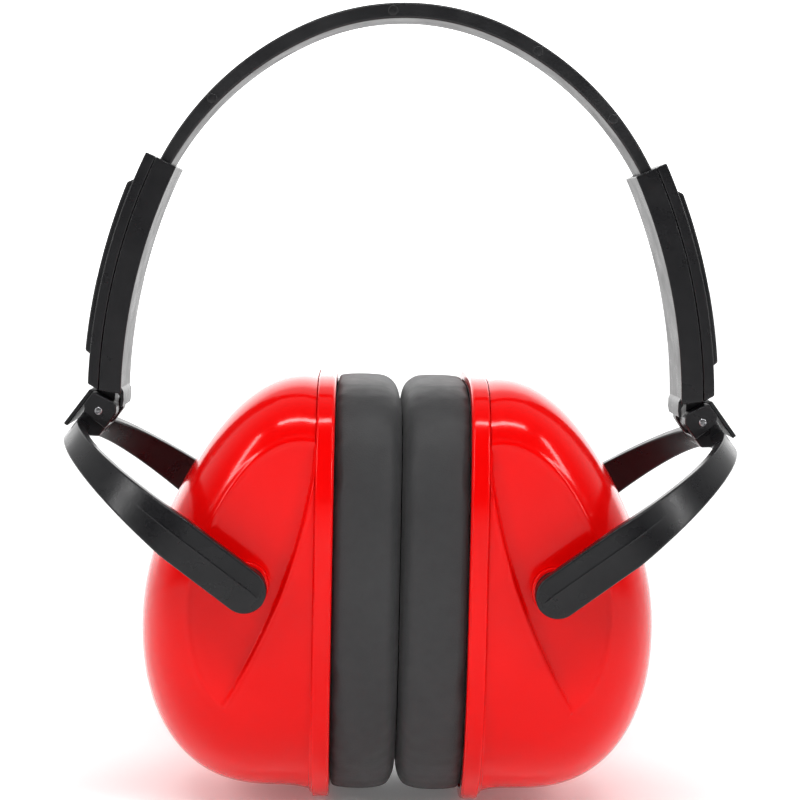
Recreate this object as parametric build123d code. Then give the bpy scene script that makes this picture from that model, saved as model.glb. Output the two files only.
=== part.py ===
from build123d import *
import math
import os

# Folding ear defender. X runs from cup to cup, Y from front to back, Z up.
# The origin is on the ground, midway between the cups. All sizes in millimetres.
# The right-hand half is modelled at +X and mirrored for the left-hand half.

# ---- headband -------------------------------------------------------------
BAND_TOP = 196.0            # top of the crown above the ground
BAND_R = 59.5               # outer radius of the crown arc
BAND_T = 3.8                # thickness at the crown
BAND_W = 15.0               # width, front to back
CROWN_HALF_ANGLE = 24.0     # crown arc, each side of the top
FLANK_R = 75.0              # radius of both faces further down, so that the band thins out
FLANK_OUT_END = 62.0        # slope of the outer and the inner face at the sleeve's mouth
FLANK_IN_END = 59.9
BEND_END = 5.0              # where the tongue becomes straight, below the sleeve's mouth
BAND_EDGE = 0.5             # edge rounding
ROUNDED_ABOVE = 160.0       # height from which the band's edges are rounded

# ---- curved sleeve and the straight tongue inside it -----------------------
SLIDE_R = 140.0             # centre line of the sleeve
SLIDE_X = -66.9             # centre of that arc, for the right-hand side
SLIDE_Z = 97.0
SLEEVE_LOW = 0.9            # ends of the sleeve, degrees above the arc's centre
SLEEVE_HIGH = 25.2
SLEEVE_IN = -4.1            # inner and outer faces, measured from the centre line
SLEEVE_OUT = 4.1
PARTING = 1.35              # joint face between channel and cover
SLEEVE_W = 20.0
TONGUE_END = 12.5           # where the tongue's centre line meets the sleeve's again, degrees
TONGUE_IN = -2.1            # faces of the tongue, measured from that straight line
TONGUE_OUT = 0.9
SLOT_GAP = 0.3
SLOT_OUT = 6.0              # the slot is open to the cover, which closes it
FLARE = ((-2.0, 5.5), (-2.4, 5.5), (-3.1, -1.5), (-2.0, -1.5))   # room for the bend at the slot's mouth
HOLLOW_LOW = 4.0            # lower end of the hollow below the tongue, degrees
HOLLOW_IN = -2.7
PAD_LOW = 4.6               # raised pad on the cover, degrees
PAD_HIGH = 22.4
PAD_PROUD = 1.5
PAD_W = 15.0
GROOVE_DEPTH = 0.9          # click groove in the tongue
GROOVE_W = 5.2
GROOVE_ENDS = 3.0           # plain tongue beyond the groove, at each end
CLICK_FIRST = 4.4           # first click ridge, below the sleeve's mouth
CLICK_PITCH = 3.6
CLICK_H = 0.4
CLICK_W = 0.8
CLICK_GAP = 0.3             # between the ridges and the spring's nose
NOSE_AT = 6.2               # the nose rests midway between two ridges
NOSE_W = 1.7
NOSE_ROOT = 3.3             # the nose's outer end, inside the leaf
FUSE = 0.2                  # depth that joined pieces reach into each other
SPRING_LOW = 16.0           # click spring, degrees
SPRING_HIGH = 23.2
SPRING_T = 0.7
SPRING_W = 4.6
SPRING_POCKET = 1.65        # depth of its pocket in the cover

# ---- fold hinge -------------------------------------------------------------
HINGE = Vector(74.4, 0, 94.9)
PIN_R = 1.05
PIN_L = 20.2
KNUCKLE_R = 3.5
KNUCKLE_W = 9.8
LIP_W = 17.0                # click lip below the sleeve's inner face
RUN_GAP = 0.06              # radial running clearance of pins
TIGHT_GAP = 0.02            # radial clearance of a pin that stays put
# Outlines in X-Z, measured from the hinge pin.
NECK = ((-3.4, 0), (-3.4, 7.5), (-0.1, 7.5), (-0.1, 5.0), (0.9, 5.0), (0.9, 0))
LIP_BACK = ((-5.3, 6.0), (-5.95, 4.7), (-6.0, 2.6), (-5.7, 1.0))
LIP_FRONT = ((-5.1, 1.1), (-5.25, 3.0), (-4.6, 4.2), (-4.6, 6.0))
UNDERSIDE = ((-12, 2.6), (-5.4, 3.9), (1.9, 5.5), (3.4, 7.4), (12, 7.4))
UNDERSIDE_DEPTH = 30.0
FOLD_ROOM = ((-12, -3.8), (0, -3.8), (0, 12), (-12, 12))
KNUCKLE_GAP = 0.4

# ---- yoke ---------------------------------------------------------------------
PIVOT = Vector(36.0, 0, 57.5)   # cup pivot, seen from the front
ARM_TILT = 36.5             # slope of the yoke's plane, degrees below level
ARM_IN = 45.5               # inner and outer faces of the arms, from mid-plane
ARM_OUT = 49.0
ARM_W = 10.4
LOOP_R = 38.75              # outer radius of the loop's two corners
EAR_IN = 5.2                # hinge ears, from mid-plane
EAR_OUT = 10.0
PLATE_T = 1.1
PLATE_W = 18.0
BOSS_R = 4.8
BOSS_GAP = 0.4              # between the arm's boss and the cup's boss
# Along and across the yoke, from the hinge pin.
HUB_FACE = -2.9
HUB_UP = 2.8                # the loop's height at its hub, each side of its middle
HUB_DOWN = -2.5
ARM_FROM = 33.0             # full arm width from here on
PLATE_FACE = -3.9
PLATE_SPAN = (-7.8, 2.9)
EAR = ((-3.9, 2.9), (1.7, 4.0), (3.8, 2.2), (3.8, -2.5), (-2.9, -2.5), (-2.9, -1.8), (-3.9, -0.8))
ROOT = ((-2.9, -2.3), (3.8, -2.3), (3.8, -5.1), (1.6, -6.6), (-2.9, -6.6))
ROOT_W = 18.0

# ---- cup ------------------------------------------------------------------------
FLANGE_X = (16.0, 20.5)
FLANGE_Z = (0.0, 105.5)
FLANGE_HALF = 42.0          # half of the depth, front to back
WIDEST = 0.55               # height of the widest place, as a share of the outline
UPPER_POWER = 3.6           # squareness of the outline above and below it
LOWER_POWER = 2.6
# Outline of the cup at each distance from mid-plane: low, high, half depth.
DOME = (
    (20.5, 1.2, 105.0, 41.2),
    (30.0, 2.4, 103.9, 41.0),
    (37.0, 4.0, 100.6, 40.7),
    (44.0, 6.2, 93.0, 39.8),
    (50.5, 9.9, 83.4, 37.8),
    (56.0, 16.8, 72.6, 33.6),
    (60.0, 25.3, 60.6, 26.0),
    (62.6, 36.0, 50.0, 12.0),
)
WALL = 2.8
CAVITY_HALF = 35.0          # widest half depth inside the cup
FACET = 38.2                # flat face that the arm swings over, from mid-plane
RIDGE = ((21.4, 82.0), (29.3, 53.5), (43.6, 25.0))   # edge of the flat face
FACET_CORNERS = ((50.0, 5.0), (80.0, 5.0), (80.0, 120.0), (21.0, 120.0))
OVAL_POINTS = 28
SMALLEST = 4.0              # least half size of a cavity's section
CUP_BOSS_R = 5.4
CUP_BOSS_OUT = 40.3
PIVOT_PIN_R = 2.5
PIVOT_PIN_END = 47.4
PIVOT_HEAD_R = 4.2
PIVOT_HEAD = (32.4, 34.3)

# ---- cushion and lining -------------------------------------------------------------
CUSHION_X = (0.2, 16.0)
CUSHION_INSET = 1.3         # inside the flange's outline
CUSHION_RING = 15.5         # width of the ring
CUSHION_ROUND = 4.0
SKIN_T = 1.2
WEB_T = 1.8                 # web of the seal ring
RIM_T = 2.6                 # rim of the seal ring
FOOT_CUT = 0.6              # flattening of the ring's lower edge, so that the part can stand
WEB_RING = 14.0
PLATE_GAP = 0.2
LINER_X = 41.5
LINER_GAP = 0.4
GROOVE = 1.0                # groove between ring and shell: depth, and half of it in width
FAR = 100.0                 # longer than any piece

MIRROR = Plane.YZ


def front(x, z):
    """A point of the X-Z drawing plane."""
    return Vector(x, 0, z)


def prism(points, half_width):
    """A closed outline in X-Z, extruded both ways from mid-plane."""
    outline = Polyline(*[front(*p) for p in points], close=True)
    return extrude(make_face(outline.edges()), half_width, dir=(0, 1, 0), both=True)


def slab(points, y_low, y_high):
    """A closed outline in X-Z, between two depths."""
    outline = Polyline(*[Vector(p[0], y_low, p[1]) for p in points], close=True)
    return extrude(make_face(outline.edges()), y_high - y_low, dir=(0, 1, 0))


def rod(centre, radius, y_low, y_high):
    """A round bar along Y."""
    middle = Vector(centre.X, (y_low + y_high) / 2, centre.Z)
    return Pos(middle) * Rot(90, 0, 0) * Cylinder(radius, y_high - y_low)


def slide_point(offset, degrees):
    """A point beside the sleeve's centre line, at an angle above the arc's centre."""
    angle = math.radians(degrees)
    radius = SLIDE_R + offset
    return front(SLIDE_X + radius * math.cos(angle), SLIDE_Z + radius * math.sin(angle))


def slide_arc(offset, low, high):
    """An arc beside the sleeve's centre line."""
    middle = slide_point(offset, (low + high) / 2)
    return ThreePointArc(slide_point(offset, low), middle, slide_point(offset, high))


def slide_block(inner, outer, low, high, width):
    """A curved bar that follows the sleeve's arc."""
    arcs = [slide_arc(inner, low, high), slide_arc(outer, low, high)]
    ends = [Line(slide_point(inner, t), slide_point(outer, t)) for t in (low, high)]
    return extrude(make_face(arcs + ends), width / 2, dir=(0, 1, 0), both=True)


def tongue_frame():
    """The tongue's upper end, its direction downwards and its length."""
    top = slide_point(0, SLEEVE_HIGH)
    line = slide_point(0, TONGUE_END) - top
    return top, line.normalized(), line.length


def tongue_point(offset, along):
    """A point beside the tongue's centre line, at a distance below the sleeve's mouth."""
    top, down, _ = tongue_frame()
    return top + down * along + front(-down.Z, down.X) * offset


def tongue_block(inner, outer, start, end, width):
    """A straight bar along the tongue."""
    corners = [tongue_point(*c) for c in ((inner, start), (outer, start), (outer, end), (inner, end))]
    return prism([(c.X, c.Z) for c in corners], width / 2)


def yoke_directions():
    """Unit vectors along the yoke's arms, towards the cup, and across them, upwards."""
    tilt = math.radians(ARM_TILT)
    return Vector(-math.cos(tilt), 0, -math.sin(tilt)), Vector(-math.sin(tilt), 0, math.cos(tilt))


def yoke_point(along, across):
    """The (x, z) of a point given along and across the yoke, from the hinge pin."""
    a, n = yoke_directions()
    point = HINGE + a * along + n * across
    return (point.X, point.Z)


def yoke_coordinates(point):
    """Along and across values of a point."""
    a, n = yoke_directions()
    return (point - HINGE).dot(a), (point - HINGE).dot(n)


# ---- headband -----------------------------------------------------------------
def upward(degrees):
    """A direction in X-Z that leans from straight up towards +X."""
    angle = math.radians(degrees)
    return front(math.sin(angle), math.cos(angle))


def arc_about(centre, radius, low, high):
    """An arc in X-Z, with its angles measured from straight up."""
    return ThreePointArc(*[centre + upward(a) * radius for a in (low, (low + high) / 2, high)])


def band_side(outer):
    """The right-hand edge line of the band: crown arc, flank, easing curve, straight tongue."""
    radius = BAND_R if outer else BAND_R - BAND_T
    offset = TONGUE_OUT if outer else TONGUE_IN
    flank_end = FLANK_OUT_END if outer else FLANK_IN_END
    crown = arc_about(front(0, BAND_TOP - BAND_R), radius, 0, CROWN_HALF_ANGLE)
    centre = crown @ 1 - upward(CROWN_HALF_ANGLE) * FLANK_R
    flank = arc_about(centre, FLANK_R, CROWN_HALF_ANGLE, flank_end)
    _, down, length = tongue_frame()
    straight = tongue_point(offset, BEND_END)
    easing = Spline(flank @ 1, straight, tangents=[flank % 1, down])
    return [crown, flank, easing, Line(straight, tongue_point(offset, length))]


def headband():
    outer = band_side(True)
    inner = band_side(False)
    length = tongue_frame()[2]
    tip = Line(tongue_point(TONGUE_IN, length), tongue_point(TONGUE_OUT, length))
    seam = Line(front(0, BAND_TOP - BAND_T), front(0, BAND_TOP))
    face = make_face(outer + inner + [tip, seam])
    half = extrude(face, BAND_W / 2, dir=(0, 1, 0), both=True)
    floor = TONGUE_OUT - GROOVE_DEPTH
    end = length - GROOVE_ENDS
    half -= tongue_block(floor, TONGUE_OUT + 1, GROOVE_ENDS, end, GROOVE_W)
    ridge = CLICK_FIRST
    while ridge < end - CLICK_W:
        half += tongue_block(floor - FUSE, floor + CLICK_H, ridge - CLICK_W / 2, ridge + CLICK_W / 2, GROOVE_W)
        ridge += CLICK_PITCH
    band = half + mirror(half, about=MIRROR)
    rim = []
    for edge in band.edges().filter_by(lambda e: e.center().Z > ROUNDED_ABOVE):
        if math.isclose(abs(edge.center().Y), BAND_W / 2, abs_tol=0.01):
            rim.append(edge)
    return fillet(rim, BAND_EDGE)


# ---- sleeve -----------------------------------------------------------------------
def hinge_relief(width):
    """Room below the sleeve for the hinge ears as they turn."""
    corners = ((UNDERSIDE[-1][0], -UNDERSIDE_DEPTH), (UNDERSIDE[0][0], -UNDERSIDE_DEPTH))
    return prism(from_hinge(UNDERSIDE + corners), width / 2)


def from_hinge(points):
    """Places given from the hinge pin."""
    return [(HINGE.X + x, HINGE.Z + z) for x, z in points]


def sleeve_channel():
    body = slide_block(SLEEVE_IN, PARTING, SLEEVE_LOW, SLEEVE_HIGH, SLEEVE_W)
    body -= hinge_relief(SLEEVE_W + 2)
    slot_width = BAND_W + 2 * SLOT_GAP
    slot_end = tongue_frame()[2] + 1
    body -= tongue_block(TONGUE_IN - SLOT_GAP, SLOT_OUT, -2, slot_end, slot_width)
    flare = [tongue_point(*corner) for corner in FLARE]
    body -= prism([(c.X, c.Z) for c in flare], slot_width / 2)
    body -= slide_block(HOLLOW_IN, PARTING + 1, HOLLOW_LOW, TONGUE_END + 1, slot_width)
    body += prism(from_hinge(NECK), KNUCKLE_W / 2)
    body += prism(from_hinge(LIP_BACK + LIP_FRONT), LIP_W / 2)
    body += rod(HINGE, KNUCKLE_R, -KNUCKLE_W / 2, KNUCKLE_W / 2)
    return body - rod(HINGE, PIN_R + RUN_GAP, -KNUCKLE_W, KNUCKLE_W)


def sleeve_cover():
    body = slide_block(PARTING, SLEEVE_OUT, SLEEVE_LOW, SLEEVE_HIGH, SLEEVE_W)
    pad = slide_block(SLEEVE_OUT - 0.5, SLEEVE_OUT + PAD_PROUD, PAD_LOW, PAD_HIGH, PAD_W)
    ends = [e for e in pad.edges().filter_by(Axis.Y) if slide_radius(e.center()) > SLEEVE_OUT + 1]
    body += chamfer(ends, PAD_PROUD - 0.3)
    body -= hinge_relief(SLEEVE_W + 2)
    pocket = PARTING + SPRING_POCKET
    return body - slide_block(PARTING - 1, pocket, SPRING_LOW - 0.2, SPRING_HIGH + 0.2, SPRING_W + 0.6)


def slide_radius(point):
    """Distance of a point from the sleeve's centre line."""
    return math.hypot(point.X - SLIDE_X, point.Z - SLIDE_Z) - SLIDE_R


def click_spring():
    top = PARTING + SPRING_POCKET
    leaf = slide_block(top - SPRING_T, top, SPRING_LOW, SPRING_HIGH, SPRING_W)
    nose_end = TONGUE_OUT - GROOVE_DEPTH + CLICK_H + CLICK_GAP
    span = (NOSE_AT - NOSE_W / 2, NOSE_AT + NOSE_W / 2)
    return leaf + tongue_block(nose_end, NOSE_ROOT, *span, SPRING_W - 0.6)


def hinge_pin():
    pin = rod(HINGE, PIN_R, -PIN_L / 2, PIN_L / 2)
    return chamfer(pin.edges().filter_by(GeomType.CIRCLE), 0.2)


# ---- yoke ---------------------------------------------------------------------------
def yoke_loop():
    """The C-shaped strip, cut to its side outline."""
    end_along, mid = yoke_coordinates(PIVOT)
    thick = ARM_OUT - ARM_IN
    a, n = yoke_directions()
    plane = Plane(origin=front(*yoke_point(0, mid)), x_dir=a, z_dir=n)
    length = 2 * (end_along + 30)
    middle = HUB_FACE + length / 2
    outer = Pos(middle, 0) * RectangleRounded(length, 2 * ARM_OUT, LOOP_R)
    inner = Pos(middle + thick, 0) * RectangleRounded(length, 2 * ARM_IN, LOOP_R - thick)
    strip = extrude(plane * (outer - inner), ARM_W, both=True)
    half = ARM_W / 2
    upper = [(HUB_FACE, mid + HUB_UP), (ARM_FROM, mid + half), (end_along, mid + half)]
    lower = [(end_along, mid - half), (ARM_FROM, mid - half), (HUB_FACE, mid + HUB_DOWN)]
    side = prism([yoke_point(*p) for p in upper + lower], ARM_OUT + 1)
    side += rod(PIVOT, half, -ARM_OUT - 1, ARM_OUT + 1)
    return strip & side


def yoke():
    body = yoke_loop()
    for side in (-1, 1):
        span = sorted((side * EAR_IN, side * EAR_OUT))
        body += slab([yoke_point(*p) for p in EAR], *span)
    body += prism([yoke_point(*p) for p in ROOT], ROOT_W / 2)
    low, high = PLATE_SPAN
    back = PLATE_FACE - PLATE_T
    plate = [(PLATE_FACE, high), (PLATE_FACE, low), (back, low), (back, high)]
    body += prism([yoke_point(*p) for p in plate], PLATE_W / 2)
    body -= rod(HINGE, KNUCKLE_R + KNUCKLE_GAP, -EAR_IN, EAR_IN)
    body -= prism(from_hinge(FOLD_ROOM), EAR_IN)
    body -= rod(HINGE, PIN_R + TIGHT_GAP, -PIN_L, PIN_L)
    for side in (-1, 1):
        boss = sorted((side * (CUP_BOSS_OUT + BOSS_GAP), side * (ARM_IN + FUSE)))
        body += rod(PIVOT, BOSS_R, *boss)
        bore = sorted((side * CUP_BOSS_OUT, side * (PIVOT_PIN_END + FUSE)))
        body -= rod(PIVOT, PIVOT_PIN_R + TIGHT_GAP, *bore)
    return body


def pivot_pin(side):
    """Stud between a yoke arm and the cup, with its snap head inside the cup."""
    pin = rod(PIVOT, PIVOT_PIN_R, *sorted((side * PIVOT_HEAD[1], side * PIVOT_PIN_END)))
    return pin + rod(PIVOT, PIVOT_HEAD_R, *sorted((side * PIVOT_HEAD[0], side * PIVOT_HEAD[1])))


# ---- cup ------------------------------------------------------------------------------
def oval(x, low, high, half):
    """The cup's outline at one distance from mid-plane: rounder below, squarer above."""
    centre = low + WIDEST * (high - low)
    points = []
    for step in range(OVAL_POINTS):
        angle = 2 * math.pi * step / OVAL_POINTS
        power = UPPER_POWER if math.sin(angle) >= 0 else LOWER_POWER
        reach = high - centre if math.sin(angle) >= 0 else centre - low
        y = half * math.copysign(abs(math.cos(angle)) ** (2 / power), math.cos(angle))
        z = centre + reach * math.copysign(abs(math.sin(angle)) ** (2 / power), math.sin(angle))
        points.append(Vector(x, y, z))
    return make_face(Spline(*points, periodic=True).edges())


def oval_block(x_range, inset):
    """A straight block with the flange's outline, drawn in by an inset."""
    low, high = FLANGE_Z
    face = oval(x_range[0], low + inset, high - inset, FLANGE_HALF - inset)
    return extrude(face, x_range[1] - x_range[0], dir=(1, 0, 0))


def ring_block(x_range):
    """A straight block with the flange's outline and the flat foot that it stands on."""
    low, high = FLANGE_Z
    face = oval(x_range[0], low - FOOT_CUT, high, FLANGE_HALF)
    block = extrude(face, x_range[1] - x_range[0], dir=(1, 0, 0))
    return block & Pos(0, 0, low + FAR) * Box(2 * FAR, 2 * FAR, 2 * FAR)


def dome(inset, half_limit):
    """The cup's outer shape, or its cavity when drawn in."""
    faces = []
    for x, low, high, half in DOME:
        depth = min(half - inset, half_limit)
        if min((high - low) / 2 - inset, depth) > SMALLEST:
            faces.append(oval(x - inset * (x > 30), low + inset, high - inset, depth))
    return loft(faces)


def arm_facet(side):
    """The space that the yoke's arm swings through, cut out of the cup's side."""
    start, middle, end = [Vector(x, side * FACET, z) for x, z in RIDGE]
    ridge = ThreePointArc(start, middle, end)
    corners = [Vector(x, side * FACET, z) for x, z in FACET_CORNERS]
    face = make_face([ridge] + Polyline(end, *corners, start).edges())
    return extrude(face, FAR, dir=(0, side, 0))


def cup_shell():
    body = dome(0, 100)
    body -= dome(WALL, CAVITY_HALF)
    mouth = oval(DOME[0][0] - 1, DOME[0][1] + WALL, DOME[0][2] - WALL, CAVITY_HALF)
    body -= extrude(mouth, 6, dir=(1, 0, 0))
    for side in (-1, 1):
        body -= arm_facet(side)
        body += rod(PIVOT, CUP_BOSS_R, *sorted((side * CAVITY_HALF, side * CUP_BOSS_OUT)))
        body -= rod(PIVOT, PIVOT_PIN_R + RUN_GAP, *sorted((side * PIVOT_HEAD[0], side * FAR)))
    return body


def seal_ring():
    """The red ring that closes the cup and carries the cushion."""
    body = ring_block(FLANGE_X)
    body -= oval_block((FLANGE_X[0] - 1, FLANGE_X[1] - WEB_T), RIM_T)
    body -= oval_block((FLANGE_X[0] - 1, FLANGE_X[1] + 1), WEB_RING)
    groove = ring_block((FLANGE_X[1] - GROOVE / 2, FLANGE_X[1] + 1))
    groove -= oval_block((FLANGE_X[1] - 1, FLANGE_X[1] + 2), GROOVE)
    return body - groove


def cushion_plate():
    """The stiff plate under the cushion, pressed into the ring."""
    span = (FLANGE_X[0], FLANGE_X[1] - WEB_T)
    return oval_block(span, RIM_T + PLATE_GAP) - oval_block((span[0] - 1, span[1] + 1), WEB_RING)


def cushion_ring(skin):
    """The rounded ring of the cushion, drawn in by the skin's thickness."""
    low, high = CUSHION_X
    body = oval_block((low + skin, high), CUSHION_INSET + skin)
    body -= oval_block((low - 1, high + 1), CUSHION_INSET + CUSHION_RING - skin)
    face = body.faces().filter_by(Axis.X).sort_by(Axis.X)[0]
    return fillet(face.edges(), CUSHION_ROUND - skin)


def cup_liner():
    """Sound-absorbing foam in the bottom of the cup."""
    room = dome(WALL + LINER_GAP, CAVITY_HALF - LINER_GAP)
    return room & Pos(LINER_X + FAR, 0, 0) * Box(2 * FAR, 2 * FAR, 3 * FAR)


def half_assembly():
    """Every piece of the right-hand side, by name."""
    foam = cushion_ring(SKIN_T)
    return {
        "sleeve_channel": sleeve_channel(),
        "sleeve_cover": sleeve_cover(),
        "click_spring": click_spring(),
        "hinge_pin": hinge_pin(),
        "yoke": yoke(),
        "front_pivot_pin": pivot_pin(-1),
        "rear_pivot_pin": pivot_pin(1),
        "cup_shell": cup_shell(),
        "seal_ring": seal_ring(),
        "cushion_plate": cushion_plate(),
        "cushion_skin": cushion_ring(0) - foam,
        "cushion_foam": foam,
        "cup_liner": cup_liner(),
    }


def write(name, shape):
    export_step(shape, os.path.join("parts", name + ".step"))


def main():
    os.makedirs("parts", exist_ok=True)
    write("headband", headband())
    for name, shape in half_assembly().items():
        write("right_" + name, shape)
        write("left_" + name, mirror(shape, about=MIRROR))


main()
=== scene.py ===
import math

import bmesh
import bpy
import numpy as np
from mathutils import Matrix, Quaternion, Vector


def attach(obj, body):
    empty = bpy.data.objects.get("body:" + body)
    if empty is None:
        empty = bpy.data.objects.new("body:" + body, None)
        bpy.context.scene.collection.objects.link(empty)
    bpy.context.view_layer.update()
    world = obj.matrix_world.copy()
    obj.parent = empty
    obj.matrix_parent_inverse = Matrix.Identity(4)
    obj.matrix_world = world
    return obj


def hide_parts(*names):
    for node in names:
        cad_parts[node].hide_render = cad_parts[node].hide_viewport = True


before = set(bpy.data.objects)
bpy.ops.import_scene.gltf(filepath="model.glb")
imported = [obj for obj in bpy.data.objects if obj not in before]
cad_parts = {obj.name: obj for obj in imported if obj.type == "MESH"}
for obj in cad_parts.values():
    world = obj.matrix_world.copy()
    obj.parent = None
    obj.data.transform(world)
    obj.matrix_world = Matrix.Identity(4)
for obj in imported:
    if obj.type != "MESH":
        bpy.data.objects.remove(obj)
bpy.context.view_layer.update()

MM = 0.001
SIDES = {"left": -1, "right": 1}

# ---- sizes in millimetres, right-hand side, the same as the CAD's ------------------
# Headband: the crown's arc, the flatter flanks, and the bend where a flank becomes the tongue.
BAND_TOP, BAND_R, BAND_T, BAND_W = 196.0, 59.5, 3.8, 15.0
CROWN_END, FLANK_R, FLANK_OUT_END, FLANK_IN_END, BEND_END = 24.0, 75.0, 62.0, 59.9, 5.0
TONGUE_IN, TONGUE_OUT, TONGUE_END = -2.1, 0.9, 12.5
EJECTOR_MARKS = (-47, -4, 31, 50)
EJECTOR_DISC = ((0.05, 7.56), (1.05, 7.56), (1.25, 7.50), (1.25, 7.2))

# Sleeve: an arc about (SLIDE_X, SLIDE_Z); offsets count outwards from its centre line.
SLIDE_R, SLIDE_X, SLIDE_Z = 140.0, -66.9, 97.0
SLEEVE_HIGH, SLEEVE_W, SLEEVE_HALF, PARTING, SEAM = 25.2, 20.0, 4.1, 1.35, 0.06
HOLLOW_IN, SLOT_SIDE, SLOT_BELOW, FLARE = -2.7, 0.35, 0.3, 0.1
BLOCK_IN, BLOCK_OVER, BLOCK_END = -3.0, 0.3, 4.0
PAD_SUNK, PAD_HIGH, PAD_FOOT, PAD_FACE = 0.4, 1.5, 7.5, 7.2
PAD_LOW, PAD_LOW_SLOPE, PAD_TOP, PAD_TOP_SLOPE = 4.6, 0.25, 22.4, -0.4
UNDERSIDE = ((-12, 4.3), (-3.6, 4.3), (1.9, 5.5), (3.4, 7.4), (12, 7.4))

# Hinge and pivot, X and Z; the outlines of the hinge's pieces count from the hinge's centre.
HINGE = (74.4, 94.9)
PIVOT = (36.0, 57.5)
ARM_TILT = math.radians(36.5)
NECK_IN, NECK_OUT, NECK_TOP, NECK_STEP = -3.4, -0.1, 7.5, (0.9, 5.0)
KNUCKLE_R, KNUCKLE_FROM, KNUCKLE_TO, KNUCKLE_HALF = 3.5, 166, 435, 4.9
LIP = ((-5.3, 6.0), (-5.95, 4.7), (-6.0, 2.6), (-5.7, 1.0),
       (-5.1, 1.1), (-5.25, 3.0), (-4.6, 4.2), (-4.6, 6.0))
LIP_HALF = 8.5
PIN_END, PIN_REACH = ((0.05, 0.0), (0.75, 0.0), (0.98, 0.15), (1.04, 0.35)), 10.12

# Yoke: outlines as (along the arm, across it) from the hinge's centre; profiles as (radius, Y).
EAR = ((-3.9, 2.9), (1.7, 4.0), (3.0, 3.3), (3.8, 2.2),
       (3.8, -2.5), (-2.9, -2.5), (-2.9, -1.8), (-3.9, -0.8))
EAR_NEAR, EAR_FAR = 5.2, 10.0
ROOT = ((-2.9, -2.3), (3.8, -2.3), (3.8, -5.1), (1.6, -6.6), (-2.9, -6.6))
PLATE = ((-3.9, 2.9), (-3.9, -7.8), (-5.0, -7.8), (-5.0, 2.9))
HUB_FACE, HUB_UP, HUB_DOWN, HUB_HALF, ARM_FROM = -2.9, 2.8, -2.5, 9, 33.0
ARM_HALF, ARM_MIDDLE, ARM_THICK, LOOP_R, ARM_EDGE = 5.2, 47.25, 3.5, 38.75, 0.6
RIB_HIGH, RIB_FROM, RIB_PAST = 0.14, 24.0, 3.5
ARM_BOSS = ((0.05, 40.7), (4.3, 40.7), (4.7, 41.0), (4.8, 41.5), (4.8, 45.8))
STUD_PROFILE = ((0.05, 32.4), (3.9, 32.4), (4.2, 32.7), (4.2, 34.0), (3.9, 34.3),
                (2.5, 34.5), (2.5, 47.0), (2.2, 47.4), (0.05, 47.4))

# Cup: its outline in X and Z, the flat under each arm and the ridge where the flat ends.
SILHOUETTE = ((20.5, 104.9), (29.4, 104.2), (36.6, 100.8), (43.5, 93.4), (50.5, 83.2), (54.6, 75.9),
              (57.4, 69.3), (60.4, 60.0), (62.1, 52.0), (62.7, 44.9), (62.5, 37.7), (61.6, 30.5),
              (59.3, 23.5), (56.3, 17.0), (51.8, 10.6), (43.1, 5.3), (34.5, 3.0), (20.5, 1.1))
CUP_CENTRE = (20.5, 52.0)
CUP_DEPTH, CUP_SPAN = 41.1, (42, 53)
FACET, FACET_SOFT, EDGE_BEAD, RIDGE_BEAD = 38.3, 0.4, 0.22, 0.14
RIDGE = ((82.0, 21.4), (53.5, 29.3), (25.0, 43.6))
POWERS = ((-90, 2.6), (-48, 3.3), (0, 4.0), (90, 4.4))
WALL = 2.8
OUTSIDE_GRID, INSIDE_GRID = 170, 36
CUP_BOSS = ((2.6, 36.5), (5.4, 36.5), (5.4, 39.9), (5.1, 40.25), (2.6, 40.3))

# Closing ring, cushion and lining: sections as (X, how far in from the ring's outline).
RING_TOP, RING_HALF, FOOT_CUT = 105.5, 42.0, 0.6
RING_SECTION = ((16.0, 0.9), (16.12, 0.45), (16.45, 0.1), (16.9, 0.0), (18.3, 0.0), (19.7, 0.0),
                (20.0, 0.08), (20.15, 0.22), (20.28, 0.6), (20.4, 0.9), (20.7, 1.1), (21.0, 1.5),
                (20.5, 13.9), (18.9, 14.1), (18.7, 13.9), (18.7, 3.0), (18.5, 2.7), (16.2, 2.6), (16.0, 2.4))
CUSHION_SECTION = ((16.0, 2.3), (15.6, 1.9), (14.6, 1.7), (11.0, 1.5), (7.5, 1.5), (5.0, 1.6),
                   (3.2, 2.0), (1.8, 2.8), (0.8, 4.0), (0.3, 5.4), (0.1, 7.2), (0.0, 9.3),
                   (0.1, 11.4), (0.5, 13.4), (1.7, 15.0), (3.8, 16.0), (7.0, 16.5), (11.0, 16.6),
                   (14.5, 16.4), (16.0, 16.0))
CUSHION_FACE, CUSHION_BACK, HELD_FROM, SWELL_CAP = 0.08, 16.0, 14.3, 0.9
CUSHION_CELL, CLOTH_FRAMES = 2.2, 20
LINING_SECTION = ((41.6, 32.0), (41.3, 24.0), (41.4, 16.0), (41.9, 11.5), (43.2, 9.4), (46.0, 9.6),
                  (50.0, 12.0), (54.0, 16.5), (57.0, 22.0), (58.5, 30.0))
LINING_MIDDLE, LINING_SQUASH, LINING_GAP = 46, 0.8, 0.3

# ---- how finely things are made ------------------------------------------------------
BEVEL_STEPS, SHARP = 3, 35
GRAIN_HIGH_M, GRAIN_SCALE = 0.00003, 1800

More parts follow.
